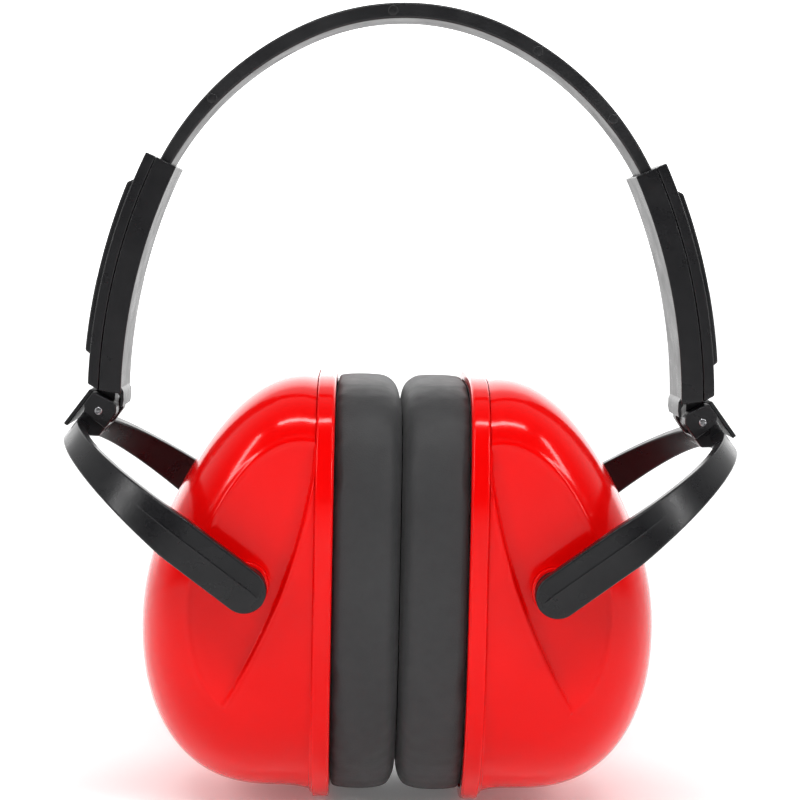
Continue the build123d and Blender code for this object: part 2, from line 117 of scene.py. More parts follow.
# ---- studio: brightness from the camera's side (0) round to the far side (1) ---------
WORLD_LEVELS = ((0.0, 0.014), (0.15, 0.018), (0.35, 0.09), (0.5, 0.24),
                (0.65, 0.40), (0.82, 0.45), (0.9, 1.0), (1.0, 1.0))
WORLD_TOP = 2.2
FLOOR_RADII_M, FLOOR_Z = (0.001, 1.5, 3.0, 6.0), -0.2
SOFTBOXES = (("top_softbox", (0.0, -0.55, 0.95), (0.9, 0.08), 6.5),
             ("left_softbox", (-0.95, -0.70, 0.55), (0.1, 0.9), 5.5),
             ("right_softbox", (0.95, -0.70, 0.55), (0.1, 0.9), 5.5))
LIGHTS_LOOK_AT = (0, 0, 0.05)
CAMERA_AT, CAMERA_LOOKS_AT = (-0.01025, -0.510, 0.13825), (-0.00025, 0, 0.09825)
LENS, SENSOR, CAMERA_ROLL = 91.8, 36, 1.2


# ---- making objects ----------------------------------------------------------------
def place(name, verts, faces, side=1, normals=None):
    """A mesh object from points in millimetres; side -1 mirrors it."""
    verts = np.array(verts, float) * MM
    verts[:, 0] *= side
    faces = [tuple(f) if side > 0 else tuple(reversed(f)) for f in faces]
    mesh = bpy.data.meshes.new(name)
    mesh.from_pydata(verts.tolist(), [], faces)
    mesh.update()
    mesh.shade_smooth()
    if normals is not None:
        mirrored = np.array(normals, float) * (side, 1, 1)
        mesh.normals_split_custom_set_from_vertices(mirrored.tolist())
    obj = bpy.data.objects.new(name, mesh)
    bpy.context.scene.collection.objects.link(obj)
    return obj


def weighted(obj):
    """Keep large faces flat in the shading, beside their rounded edges."""
    mod = obj.modifiers.new("flat faces", "WEIGHTED_NORMAL")
    mod.weight = 90
    mod.keep_sharp = True
    return obj


def give(obj, material, body, slot, *nodes):
    """Material, body, slot (not used) and the CAD nodes that a piece stands for."""
    obj.data.materials.clear()
    obj.data.materials.append(material)
    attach(obj, body)
    if nodes:
        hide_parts(*nodes)
    return obj


def bevelled(verts, faces, width):
    """The shell with every sharp edge rounded off."""
    bm = bmesh.new()
    points = [bm.verts.new(v) for v in verts]
    for f in faces:
        bm.faces.new([points[i] for i in f])
    bmesh.ops.recalc_face_normals(bm, faces=bm.faces)
    limit = math.radians(SHARP)
    edges = [e for e in bm.edges if len(e.link_faces) == 2 and e.calc_face_angle(0) > limit]
    bmesh.ops.bevel(bm, geom=edges, offset=width, offset_type="OFFSET", segments=BEVEL_STEPS,
                    profile=0.5, affect="EDGES", clamp_overlap=True)
    bm.verts.index_update()
    out = [tuple(v.co) for v in bm.verts], [[v.index for v in f.verts] for f in bm.faces]
    bm.free()
    return out


def joined(*shells):
    """Several shells as one list of points and faces."""
    verts, faces = [], []
    for v, f in shells:
        base = len(verts)
        verts += [tuple(p) for p in v]
        faces += [[i + base for i in face] for face in f]
    return verts, faces


def tube(rings, capped=True):
    """Quads between closed rings of points, and a face at each end."""
    count = len(rings[0])
    verts = [tuple(p) for ring in rings for p in ring]
    faces = []
    for r in range(len(rings) - 1):
        for i in range(count):
            j = (i + 1) % count
            faces.append([r * count + i, r * count + j, (r + 1) * count + j, (r + 1) * count + i])
    if capped:
        faces.append(list(range(count))[::-1])
        last = (len(rings) - 1) * count
        faces.append([last + i for i in range(count)])
    return verts, faces


def closed_tube(rings):
    """Quads between closed rings, the last joined to the first."""
    verts, faces = tube(rings, capped=False)
    count, last = len(rings[0]), (len(rings) - 1) * len(rings[0])
    for i in range(count):
        j = (i + 1) % count
        faces.append([last + i, last + j, j, i])
    return verts, faces


def slab(outline, y_low, y_high, bevel):
    """An X-Z outline between two depths, with rounded edges."""
    rings = [[(x, y, z) for x, z in outline] for y in (y_low, y_high)]
    return bevelled(*tube(rings), bevel)


def turned(profile, centre, segments=48):
    """A shape turned about an axis along Y: profile points are (radius, y)."""
    rings = []
    for radius, y in profile:
        ring = []
        for k in range(segments):
            a = 2 * math.pi * k / segments
            ring.append((centre[0] + radius * math.cos(a), y, centre[1] + radius * math.sin(a)))
        rings.append(ring)
    return tube(rings)


def rounded_bar(w, h, r, seg=4):
    """Points round a rectangle with round corners, width along u and height along v."""
    r = max(min(r, w / 2 - 0.01, h / 2 - 0.01), 0.005)
    points = []
    for cx, cy, start in ((1, 1, 0), (-1, 1, 90), (-1, -1, 180), (1, -1, 270)):
        for k in range(seg + 1):
            a = math.radians(start + 90 * k / seg)
            points.append((cx * (w / 2 - r) + r * math.cos(a), cy * (h / 2 - r) + r * math.sin(a)))
    return points


def ring_at(centre, u, v, points):
    """Flat points (p, q) placed round a centre along two directions."""
    c, u, v = Vector(centre), Vector(u), Vector(v)
    return [tuple(c + u * p + v * q) for p, q in points]


# ---- materials ---------------------------------------------------------------------
def node_tree(name):
    """A new material, its nodes and its shader."""
    material = bpy.data.materials.new(name)
    material.use_nodes = True
    tree = material.node_tree
    return material, tree, tree.nodes["Principled BSDF"]


def object_place(tree):
    """The object's own coordinates, in metres."""
    return tree.nodes.new("ShaderNodeTexCoord").outputs["Object"]


def noise(tree, scale, detail=3.0, rough=0.5, distortion=0.0):
    """Soft noise fixed to the object."""
    node = tree.nodes.new("ShaderNodeTexNoise")
    node.inputs["Scale"].default_value = scale
    node.inputs["Detail"].default_value = detail
    node.inputs["Roughness"].default_value = rough
    node.inputs["Distortion"].default_value = distortion
    tree.links.new(object_place(tree), node.inputs["Vector"])
    return node.outputs["Fac"]


def spread(tree, value, low, high, out_low, out_high):
    """A value's range from low to high stretched to another range."""
    node = tree.nodes.new("ShaderNodeMapRange")
    node.inputs["From Min"].default_value = low
    node.inputs["From Max"].default_value = high
    node.inputs["To Min"].default_value = out_low
    node.inputs["To Max"].default_value = out_high
    tree.links.new(value, node.inputs["Value"])
    return node.outputs["Result"]


def two_tone(tree, value, dark, light):
    """A colour between a dark tone (value 0) and a light one (value 1)."""
    node = tree.nodes.new("ShaderNodeMix")
    node.data_type = "RGBA"
    node.inputs[6].default_value = (*dark, 1)
    node.inputs[7].default_value = (*light, 1)
    tree.links.new(value, node.inputs[0])
    return node.outputs[2]


def bumps(tree, bsdf, layers):
    """Layers of height, each (value, distance in metres, strength)."""
    last = None
    for value, distance, strength in layers:
        node = tree.nodes.new("ShaderNodeBump")
        node.inputs["Distance"].default_value = distance
        node.inputs["Strength"].default_value = strength
        tree.links.new(value, node.inputs["Height"])
        if last is not None:
            tree.links.new(last, node.inputs["Normal"])
        last = node.outputs["Normal"]
    tree.links.new(last, bsdf.inputs["Normal"])


def moulded(name, dark, light, rough, specular=0.5):
    """Satin moulded plastic: fine spark-eroded grain, soft flow marks, uneven gloss."""
    material, tree, bsdf = node_tree(name)
    flow = noise(tree, 60, 4, 0.55, 0.6)
    tone = two_tone(tree, spread(tree, flow, 0.35, 0.65, 0, 1), dark, light)
    tree.links.new(tone, bsdf.inputs["Base Color"])
    sheen = spread(tree, noise(tree, 160, 5), 0.3, 0.7, rough - 0.05, rough + 0.06)
    tree.links.new(sheen, bsdf.inputs["Roughness"])
    bumps(tree, bsdf, [(flow, 0.0002, 0.12), (noise(tree, GRAIN_SCALE, 2), GRAIN_HIGH_M, 0.5)])
    bsdf.inputs["Specular IOR Level"].default_value = specular
    return material


def glossy_red():
    """Polished red plastic: faint sink marks and swirls that bend the highlights."""
    material, tree, bsdf = node_tree("glossy red plastic")
    swirl = noise(tree, 25, 3, 0.5, 0.8)
    swirl_share = spread(tree, swirl, 0.3, 0.7, 0, 1)
    tone = two_tone(tree, swirl_share, (0.69, 0.001, 0.001), (0.77, 0.002, 0.002))
    tree.links.new(tone, bsdf.inputs["Base Color"])
    fine = noise(tree, 900, 4, 0.6)
    tree.links.new(spread(tree, fine, 0.3, 0.75, 0.10, 0.17), bsdf.inputs["Roughness"])
    sinks = noise(tree, 45, 1, 0.4)
    ripple = noise(tree, 260, 3, 0.5)
    bumps(tree, bsdf, [(sinks, 0.0006, 0.10), (ripple, 0.00005, 0.12)])
    bsdf.inputs["IOR"].default_value = 1.5
    bsdf.inputs["Specular IOR Level"].default_value = 0.3
    bsdf.inputs["Specular Tint"].default_value = (1, 0.45, 0.45, 1)
    bsdf.inputs["Coat Weight"].default_value = 0.1
    bsdf.inputs["Coat Roughness"].default_value = 0.04
    return material


def vinyl():
    """Soft matt cushion skin with a fine leather-like grain."""
    material, tree, bsdf = node_tree("cushion vinyl")
    cloud = noise(tree, 35, 4, 0.6)
    cloud_share = spread(tree, cloud, 0.3, 0.7, 0, 1)
    tone = two_tone(tree, cloud_share, (0.020, 0.020, 0.021), (0.027, 0.027, 0.028))
    tree.links.new(tone, bsdf.inputs["Base Color"])
    cells = tree.nodes.new("ShaderNodeTexVoronoi")
    cells.feature = "DISTANCE_TO_EDGE"
    cells.inputs["Scale"].default_value = 1500
    tree.links.new(object_place(tree), cells.inputs["Vector"])
    grain = spread(tree, cells.outputs["Distance"], 0.0, 0.25, 0, 1)
    tree.links.new(spread(tree, noise(tree, 300, 4), 0.3, 0.7, 0.56, 0.68), bsdf.inputs["Roughness"])
    bumps(tree, bsdf, [(noise(tree, 70, 3, 0.5), 0.0005, 0.25), (grain, 0.00005, 0.35)])
    bsdf.inputs["Specular IOR Level"].default_value = 0.4
    bsdf.inputs["Sheen Weight"].default_value = 0.12
    bsdf.inputs["Sheen Roughness"].default_value = 0.45
    return material


def foam():
    """Open-cell foam."""
    material, tree, bsdf = node_tree("open foam")
    cells = tree.nodes.new("ShaderNodeTexVoronoi")
    cells.inputs["Scale"].default_value = 900
    tree.links.new(object_place(tree), cells.inputs["Vector"])
    pores = spread(tree, cells.outputs["Distance"], 0.1, 0.6, 0, 1)
    tone = two_tone(tree, pores, (0.012, 0.012, 0.013), (0.06, 0.06, 0.063))
    tree.links.new(tone, bsdf.inputs["Base Color"])
    bumps(tree, bsdf, [(pores, 0.0006, 0.8), (noise(tree, 60, 4), 0.002, 0.3)])
    bsdf.inputs["Roughness"].default_value = 0.95
    return material


def metal(name, dark, light, rough):
    """Drawn steel with fine turning lines."""
    material, tree, bsdf = node_tree(name)
    lines = noise(tree, 2500, 3)
    tree.links.new(two_tone(tree, lines, dark, light), bsdf.inputs["Base Color"])
    tree.links.new(spread(tree, lines, 0.3, 0.7, rough - 0.06, rough + 0.08), bsdf.inputs["Roughness"])
    bumps(tree, bsdf, [(lines, 0.00002, 0.4)])
    bsdf.inputs["Metallic"].default_value = 1
    return material


BAND = moulded("band nylon", (0.008, 0.008, 0.009), (0.012, 0.012, 0.013), 0.34, 0.4)
BLACK = moulded("black moulded plastic", (0.006, 0.006, 0.007), (0.010, 0.010, 0.011), 0.29, 0.3)
STUD = moulded("stud plastic", (0.018, 0.018, 0.019), (0.026, 0.026, 0.027), 0.38)
INNER = moulded("inner plastic", (0.035, 0.035, 0.036), (0.05, 0.05, 0.052), 0.5)
RED = glossy_red()
VINYL = vinyl()
FOAM = foam()
PIN = metal("pin steel", (0.24, 0.24, 0.25), (0.34, 0.34, 0.35), 0.3)
SPRING = metal("spring steel", (0.35, 0.35, 0.37), (0.5, 0.5, 0.52), 0.3)


# ---- headband ----------------------------------------------------------------------
def slide_point(offset, degrees, y=0.0):
    """A point of the sleeve's arc, at an offset from its centre line."""
    a = math.radians(degrees)
    radius = SLIDE_R + offset
    return (SLIDE_X + radius * math.cos(a), y, SLIDE_Z + radius * math.sin(a))


def easing(start, start_dir, end, end_dir, count):
    """Points of a smooth curve between two places and directions, without the first."""
    start, end = np.array(start), np.array(end)
    pull = np.linalg.norm(end - start)
    m0, m1 = np.array(start_dir) * pull, np.array(end_dir) * pull
    out = []
    for k in range(1, count + 1):
        t = k / count
        h = (2 * t**3 - 3 * t**2 + 1, t**3 - 2 * t**2 + t, -2 * t**3 + 3 * t**2, t**3 - t**2)
        out.append(h[0] * start + h[1] * m0 + h[2] * end + h[3] * m1)
    return out


def tongue_frame():
    """The straight tongue's upper end, its direction down into the sleeve, and its length."""
    top, tip = [np.array(slide_point(0, t))[[0, 2]] for t in (SLEEVE_HIGH, TONGUE_END)]
    length = float(np.linalg.norm(tip - top))
    return top, (tip - top) / length, length


def tongue_point(offset, along):
    """A point of the tongue in X-Z, at a distance from its upper end."""
    top, down, _ = tongue_frame()
    return top + down * along + np.array((-down[1], down[0])) * offset


def band_point(outer, degrees):
    """The point of the band's outer or inner edge where it slopes by an angle, in X-Z."""
    radius = BAND_R if outer else BAND_R - BAND_T
    crown, turn = [math.radians(a) for a in (min(degrees, CROWN_END), degrees)]
    up, lean = [np.array((math.sin(a), math.cos(a))) for a in (crown, turn)]
    return np.array((0, BAND_TOP - BAND_R)) + radius * up + FLANK_R * (lean - up)


def band_line(outer):
    """The band's edge from the crown to the tongue's tip, right-hand side, in X-Z."""
    offset = TONGUE_OUT if outer else TONGUE_IN
    end = FLANK_OUT_END if outer else FLANK_IN_END
    crown_steps, flank_steps, bend_steps, tongue_steps = 22, 44, 12, 6
    line = [band_point(outer, CROWN_END * k / crown_steps) for k in range(crown_steps)]
    for k in range(flank_steps + 1):
        line.append(band_point(outer, CROWN_END + (end - CROWN_END) * k / flank_steps))
    a = math.radians(end)
    _, down, length = tongue_frame()
    slope = (math.cos(a), -math.sin(a))
    line += easing(line[-1], slope, tongue_point(offset, BEND_END), down, bend_steps)
    for k in range(1, tongue_steps + 1):
        line.append(tongue_point(offset, BEND_END + (length - BEND_END) * k / tongue_steps))
    return line


def make_headband():
    """The arch with its two tongues, and the ejector pins' faint discs on both edges."""
    edge = 0.55
    outer, inner = band_line(True), band_line(False)
    half = [((o + i) / 2, (o - i)) for o, i in zip(outer, inner)]
    whole = [(c * (-1, 1), d * (-1, 1)) for c, d in reversed(half[1:])] + half
    rings = []
    for c, d in whole:
        thick = float(np.linalg.norm(d))
        u = (d[0] / thick, 0, d[1] / thick)
        rings.append(ring_at((c[0], 0, c[1]), u, (0, 1, 0), rounded_bar(thick, BAND_W, edge)))
    shells = [tube(rings)]
    for degrees in EJECTOR_MARKS:
        x, z = (band_point(True, abs(degrees)) + band_point(False, abs(degrees))) / 2
        for sign in (-1, 1):
            disc = [(r, sign * y) for r, y in EJECTOR_DISC]
            shells.append(turned(disc, (math.copysign(x, degrees), z), 32))
    obj = weighted(place("headband_arch", *joined(*shells)))
    return give(obj, BAND, "headband", "band_plastic", "headband")


# ---- sleeves -----------------------------------------------------------------------
def underside_angle(offset):
    """Where the sleeve's lower end lies, in degrees, at a distance from its centre line."""
    x = SLIDE_X + SLIDE_R + offset - HINGE[0]
    z = float(np.interp(x, [p[0] for p in UNDERSIDE], [p[1] for p in UNDERSIDE]))
    return math.degrees(math.asin((HINGE[1] + z - SLIDE_Z) / (SLIDE_R + offset)))


def curved_bar(section, low, high, bevel, stations=44):
    """Points (offset, y) swept along the sleeve's arc; section and ends may be functions."""
    rings = []
    for k in range(stations + 1):
        ring = []
        middle = (low(0) if callable(low) else low) * (1 - k / stations) + SLEEVE_HIGH * k / stations
        for offset, y in section(middle) if callable(section) else section:
            start = low(offset) if callable(low) else low
            end = high(offset) if callable(high) else high
            ring.append(slide_point(offset, start + (end - start) * k / stations, y))
        rings.append(ring)
    return bevelled(*tube(rings), bevel)


def slot_floor(degrees):
    """How deep the straight slot lies below the sleeve's centre line."""
    middle, half = (SLEEVE_HIGH + TONGUE_END) / 2, (SLEEVE_HIGH - TONGUE_END) / 2
    if degrees < TONGUE_END:
        return HOLLOW_IN
    line = SLIDE_R * math.cos(math.radians(half)) + TONGUE_IN - SLOT_BELOW
    from_mouth = math.radians(SLEEVE_HIGH - degrees) * SLIDE_R
    flare = FLARE * max(BEND_END + 0.5 - from_mouth, 0)
    return line / math.cos(math.radians(degrees - middle)) - SLIDE_R - flare


def make_sleeve(side):
    """The inner half with knuckle and catch, then the outer half with its raised pad."""
    sign = SIDES[side]
    half, slot = SLEEVE_W / 2, BAND_W / 2 + SLOT_SIDE
    lip, inner = PARTING - SEAM, -SLEEVE_HALF

    def channel(degrees):
        floor = slot_floor(degrees)
        walls = [(inner, -half), (lip, -half), (lip, -slot), (floor, -slot)]
        return walls + [(offset, -y) for offset, y in reversed(walls)]

    shell = curved_bar(channel, underside_angle, SLEEVE_HIGH, 0.25)
    wide = slot + BLOCK_OVER
    block = [(BLOCK_IN, -wide), (lip, -wide), (lip, wide), (BLOCK_IN, wide)]
    floor = curved_bar(block, underside_angle, BLOCK_END, 0.2, 6)
    knuckle = [(NECK_IN, NECK_TOP)]
    for k in range(25):
        a = math.radians(KNUCKLE_FROM + (KNUCKLE_TO - KNUCKLE_FROM) * k / 24)
        knuckle.append((KNUCKLE_R * math.cos(a), KNUCKLE_R * math.sin(a)))
    knuckle += [NECK_STEP, (NECK_OUT, NECK_STEP[1]), (NECK_OUT, NECK_TOP)]
    at_hinge = [(HINGE[0] + x, HINGE[1] + z) for x, z in knuckle]
    knuckle = slab(at_hinge, -KNUCKLE_HALF, KNUCKLE_HALF, 0.25)
    catch = slab([(HINGE[0] + x, HINGE[1] + z) for x, z in LIP], -LIP_HALF, LIP_HALF, 0.15)
    obj = weighted(place(side + "_sleeve_inner", *joined(shell, floor, knuckle, catch), sign))
    give(obj, BLACK, side + "_sleeve", "black_plastic", side + "_sleeve_channel")

    seat = PARTING + SEAM
    cover = [(seat, -half), (SLEEVE_HALF, -half), (SLEEVE_HALF, half), (seat, half)]
    shell = curved_bar(cover, underside_angle, SLEEVE_HIGH, 0.35)
    sunk, raised = SLEEVE_HALF - PAD_SUNK, SLEEVE_HALF + PAD_HIGH
    pad = [(sunk, -PAD_FOOT), (raised, -PAD_FACE), (raised, PAD_FACE), (sunk, PAD_FOOT)]

    def pad_low(offset):
        return PAD_LOW + PAD_LOW_SLOPE * (offset - SLEEVE_HALF)

    def pad_high(offset):
        return PAD_TOP + PAD_TOP_SLOPE * (offset - SLEEVE_HALF)

    raised_pad = curved_bar(pad, pad_low, pad_high, 0.4)
    obj = weighted(place(side + "_sleeve_outer", *joined(shell, raised_pad), sign))
    give(obj, BLACK, side + "_sleeve", "black_plastic", side + "_sleeve_cover")


# ---- yoke --------------------------------------------------------------------------
ALONG = np.array((-math.cos(ARM_TILT), 0, -math.sin(ARM_TILT)))
ACROSS = np.array((-math.sin(ARM_TILT), 0, math.cos(ARM_TILT)))
PIN_POINT = np.array((HINGE[0], 0, HINGE[1]))
TO_PIVOT = np.array((PIVOT[0], 0, PIVOT[1])) - PIN_POINT
PIVOT_ALONG, YOKE_MID = float(TO_PIVOT @ ALONG), float(TO_PIVOT @ ACROSS)


def yoke_xz(along, across):
    """A point of the yoke in X-Z, from distances along the arm and across it."""
    p = PIN_POINT + ALONG * along + ACROSS * across
    return (p[0], p[2])


def yoke_path():
    """(along, y, outward along, outward y) from the front arm's end round to the rear arm's."""
    end_steps, arm_steps, loop_steps, hub_steps, end_angle = 14, 9, 36, 4, 86
    mid_r = LOOP_R - ARM_THICK / 2
    bend_at = HUB_FACE + LOOP_R
    bend_y = ARM_MIDDLE - mid_r
    hub_middle = HUB_FACE + ARM_THICK / 2
    front = []
    for k in range(end_steps + 1):
        a = math.radians(end_angle * (end_steps - k) / end_steps)
        front.append((PIVOT_ALONG + ARM_HALF * math.sin(a), -ARM_MIDDLE, 0, -1))
    for k in range(1, arm_steps):
        s = PIVOT_ALONG + (bend_at - PIVOT_ALONG) * k / arm_steps
        front.append((s, -ARM_MIDDLE, 0, -1))
    for k in range(loop_steps + 1):
        a = math.radians(90 * k / loop_steps)
        us, uy = -math.sin(a), -math.cos(a)
        front.append((bend_at - mid_r * math.sin(a), -bend_y - mid_r * math.cos(a), us, uy))
    for k in range(1, hub_steps):
        front.append((hub_middle, -bend_y * (1 - k / hub_steps), -1, 0))
    middle = [(hub_middle, 0, -1, 0)]
    return front + middle + [(s, -y, us, -uy) for s, y, us, uy in reversed(front)]


def ribbed_bar(w, h, r, rib):
    """A rounded bar with a fine rib along its outward face, a little above the middle."""
    points = [(u - RIB_HIGH / 2, v) for u, v in rounded_bar(w - RIB_HIGH, h, r)]
    face, flat = w / 2 - RIB_HIGH, points[0][1]
    for at, height in ((0.10, 0), (0.15, rib), (0.20, rib), (0.25, 0)):
        points.append((face + height, flat * at))
    return points


def make_yoke(side):
    """The fork, swept along its path with ears, root and plate, and the hinge's pin."""
    rings = []
    for s, y, us, uy in yoke_path():
        grow = min(max((s - HUB_FACE) / (ARM_FROM - HUB_FACE), 0), 1)
        up = HUB_UP + (ARM_HALF - HUB_UP) * grow
        down = HUB_DOWN + (-ARM_HALF - HUB_DOWN) * grow
        if s > PIVOT_ALONG:
            up = math.sqrt(max(ARM_HALF**2 - (s - PIVOT_ALONG) ** 2, 0.04))
            down = -up
        centre = PIN_POINT + ALONG * s + ACROSS * (YOKE_MID + (up + down) / 2) + np.array((0, y, 0))
        outward = ALONG * us + np.array((0, uy, 0))
        rib = RIB_HIGH if RIB_FROM < s < PIVOT_ALONG + RIB_PAST else 0
        section = ribbed_bar(ARM_THICK, up - down, ARM_EDGE, rib)
        rings.append(ring_at(centre, outward, ACROSS, section))
    shells = [tube(rings)]
    for sign in (-1, 1):
        span = sorted((sign * EAR_NEAR, sign * EAR_FAR))
        shells.append(slab([yoke_xz(*p) for p in EAR], *span, 0.35))
        shells.append(turned([(r, sign * y) for r, y in ARM_BOSS], PIVOT))
    shells.append(slab([yoke_xz(*p) for p in ROOT], -HUB_HALF, HUB_HALF, 0.4))
    shells.append(slab([yoke_xz(*p) for p in PLATE], -HUB_HALF, HUB_HALF, 0.3))
    obj = weighted(place(side + "_fork", *joined(*shells), SIDES[side]))
    give(obj, BLACK, side + "_yoke", "black_plastic", side + "_yoke")

    pin = [(r, back - PIN_REACH) for r, back in PIN_END]
    pin += [(r, PIN_REACH - back) for r, back in reversed(PIN_END)]
    obj = weighted(place(side + "_fold_pin", *turned(pin, HINGE, 40), SIDES[side]))
    give(obj, PIN, side + "_yoke", "pin_steel", side + "_hinge_pin")


def make_studs(side):
    """The two studs that a cup turns on."""
    for name, sign in (("front", -1), ("rear", 1)):
        shell = turned([(r, sign * y) for r, y in STUD_PROFILE], PIVOT)
        obj = weighted(place(f"{side}_{name}_stud", *shell, SIDES[side]))
        give(obj, STUD, f"{side}_yoke", "pin_plastic", f"{side}_{name}_pivot_pin")


# ---- cup ---------------------------------------------------------------------------
def fitted(points, degree):
    """The polynomial that comes nearest to some points."""
    x, y = np.array(points, float).T
    return np.polynomial.Polynomial.fit(x, y, degree)


POLAR = []
for px, pz in SILHOUETTE:
    dx, dz = px - CUP_CENTRE[0], pz - CUP_CENTRE[1]
    POLAR.append((math.atan2(dz, dx), math.hypot(dx, dz)))
REACH = fitted(POLAR, 9)
POWER = fitted([(math.radians(a), p) for a, p in POWERS], 3)
RIDGE_X = fitted(RIDGE, 2)


def dome(directions, inset=0.0, relief=True):
    """Points of the cup's surface along directions from the middle of its mouth.

    Relief cuts the flats under the arms, with a fine bead along their edges.
    """
    d = np.asarray(directions, float)
    angle = np.arctan2(d[:, 2], np.maximum(d[:, 0], 1e-9))
    power = POWER(angle)
    share = np.hypot(d[:, 0], d[:, 2]) / (REACH(angle) - inset)
    deep = np.abs(d[:, 1]) / (CUP_DEPTH - inset)
    p = d / (share**power + deep**power)[:, None] ** (1 / power)[:, None]
    p = p + (CUP_CENTRE[0], 0, CUP_CENTRE[1])
    if relief:
        y = np.abs(p[:, 1])
        h = np.clip(0.5 + 0.5 * (FACET - y) / FACET_SOFT, 0, 1)
        flat = FACET + (y - FACET) * h - FACET_SOFT * h * (1 - h)
        slope = RIDGE_X.deriv()(p[:, 2])
        inside = (RIDGE_X(p[:, 2]) - p[:, 0]) / np.sqrt(1 + slope**2)
        t = np.clip((inside + 0.1) / 0.9, 0, 1)
        wedge = t * t * (3 - 2 * t)
        bead = EDGE_BEAD * np.exp(-(((y - FACET) / 0.3) ** 2)) * (1 - wedge)
        bead += RIDGE_BEAD * np.exp(-(((inside - 0.9) / 0.5) ** 2)) * (y > FACET)
        p[:, 1] = np.sign(p[:, 1]) * (flat + (y - flat) * wedge + bead)
    return p


def half_cube(n):
    """Grid over the five sides of half a cube, as directions and quads."""
    table, points, quads = {}, [], []

    def index(p):
        key = tuple(round(c * 4 * n) for c in p)
        if key not in table:
            table[key] = len(points)
            points.append(p)
        return table[key]

    def side_of(make, low_u):
        steps = n if low_u < 0 else n // 2
        us = [low_u + (1 - low_u) * i / steps for i in range(steps + 1)]
        vs = [-1 + 2 * j / n for j in range(n + 1)]
        for i in range(len(us) - 1):
            for j in range(n):
                low, high = us[i], us[i + 1]
                corners = ((low, vs[j]), (high, vs[j]), (high, vs[j + 1]), (low, vs[j + 1]))
                quads.append([index(make(u, v)) for u, v in corners])

    side_of(lambda u, v: (1.0, u, v), -1)
    side_of(lambda u, v: (u, 1.0, v), 0)
    side_of(lambda u, v: (u, -1.0, v), 0)
    side_of(lambda u, v: (u, v, 1.0), 0)
    side_of(lambda u, v: (u, v, -1.0), 0)
    return np.array(points), quads


def dome_shell(n, inset=0.0, relief=True):
    """Vertices, quads, normals and the rim's vertex numbers of the cup's surface."""
    cube, quads = half_cube(n)
    warped = np.tan(cube * math.pi / 4)
    directions = warped * (CUP_SPAN[0], CUP_DEPTH, CUP_SPAN[1])
    points = dome(directions, inset, relief)
    unit = directions / np.linalg.norm(directions, axis=1)[:, None]
    helper = np.where(np.abs(unit[:, [1]]) < 0.7, (0, 1, 0), (0, 0, 1))
    t1 = np.cross(unit, helper)
    t1 /= np.linalg.norm(t1, axis=1)[:, None]
    t2 = np.cross(unit, t1)
    step = 0.0015
    a = dome(unit + t1 * step, inset, relief) - dome(unit - t1 * step, inset, relief)
    b = dome(unit + t2 * step, inset, relief) - dome(unit - t2 * step, inset, relief)
    normals = np.cross(a, b)
    normals /= np.linalg.norm(normals, axis=1)[:, None]
    inward = np.sum(normals * unit, axis=1) < 0
    normals[inward] *= -1
    fixed = []
    for q in quads:
        p = points[q[:3]]
        face = np.cross(p[1] - p[0], p[2] - p[0])
        fixed.append(q if face @ normals[q[0]] > 0 else q[::-1])
    rim = [i for i in range(len(cube)) if cube[i][0] < 1e-6]
    rim.sort(key=lambda i: math.atan2(cube[i][2], cube[i][1]))
    return points, fixed, normals, rim


def make_cup_shell(side, outside, inside):
    """The hollow dome, its rim joined up, and a boss round each stud."""
    outer, faces, normals, rim = outside
    inner, inner_faces, inner_normals, inner_rim = inside
    base = len(outer)
    verts = np.vstack([outer, inner])
    faces = faces + [[base + i for i in f[::-1]] for f in inner_faces]
    normals = np.vstack([normals, -inner_normals])
    faces = faces + rim_strip(verts, rim, [base + i for i in inner_rim])
    obj = place(side + "_cup_body", verts, faces, SIDES[side], normals)
    give(obj, RED, side + "_cup", "red_plastic", side + "_cup_shell")
    for sign, name in ((-1, "front"), (1, "rear")):
        shell = turned([(r, sign * y) for r, y in CUP_BOSS], PIVOT)
        obj = weighted(place(f"{side}_cup_{name}_boss", *shell, SIDES[side]))
        give(obj, RED, side + "_cup", "red_plastic")


def rim_strip(verts, outer, inner):
    """Triangles that join two loops of different counts, both going the same way round."""
    def turn(loop):
        angles = [math.atan2(verts[i][2] - CUP_CENTRE[1], verts[i][1]) for i in loop]
        start = int(np.argmin(angles))
        order = [loop[(start + k) % len(loop)] for k in range(len(loop))]
        return order, [math.atan2(verts[i][2] - CUP_CENTRE[1], verts[i][1]) for i in order]

    outer, outer_a = turn(outer)
    inner, inner_a = turn(inner)
    faces, i, j = [], 0, 0
    n, m = len(outer), len(inner)
    full = 2 * math.pi
    while i < n or j < m:
        next_o = outer_a[(i + 1) % n] + full * ((i + 1) // n)
        next_i = inner_a[(j + 1) % m] + full * ((j + 1) // m)
        if j >= m or (i < n and next_o <= next_i):
            faces.append([outer[i % n], outer[(i + 1) % n], inner[j % m]])
            i += 1
        else:
            faces.append([outer[i % n], inner[(j + 1) % m], inner[j % m]])
            j += 1
    return faces


def oval(x, inset, count=240, foot=0.0):
    """The closing ring's outline, drawn in by an inset and cut flat below by a foot."""
    top, centre = RING_TOP, CUP_CENTRE[1]
    ring = []
    for k in range(count):
        a = 2 * math.pi * k / count
        c, s = math.cos(a), math.sin(a)
        power = POWERS[-1][1] if s >= 0 else POWERS[0][1]
        high = (top - centre if s >= 0 else centre + foot) - inset
        r = ((abs(c) / (RING_HALF - inset)) ** power + (abs(s) / high) ** power) ** (-1 / power)
        ring.append((x, r * c, max(centre + r * s, inset)))
    return ring


def make_ring(side):
    """The ring that closes the cup."""
    verts, faces = closed_tube([oval(x, inset, foot=FOOT_CUT) for x, inset in RING_SECTION])
    obj = weighted(place(side + "_closing_ring", verts, faces, SIDES[side]))
    give(obj, RED, side + "_cup", "red_plastic", side + "_seal_ring")


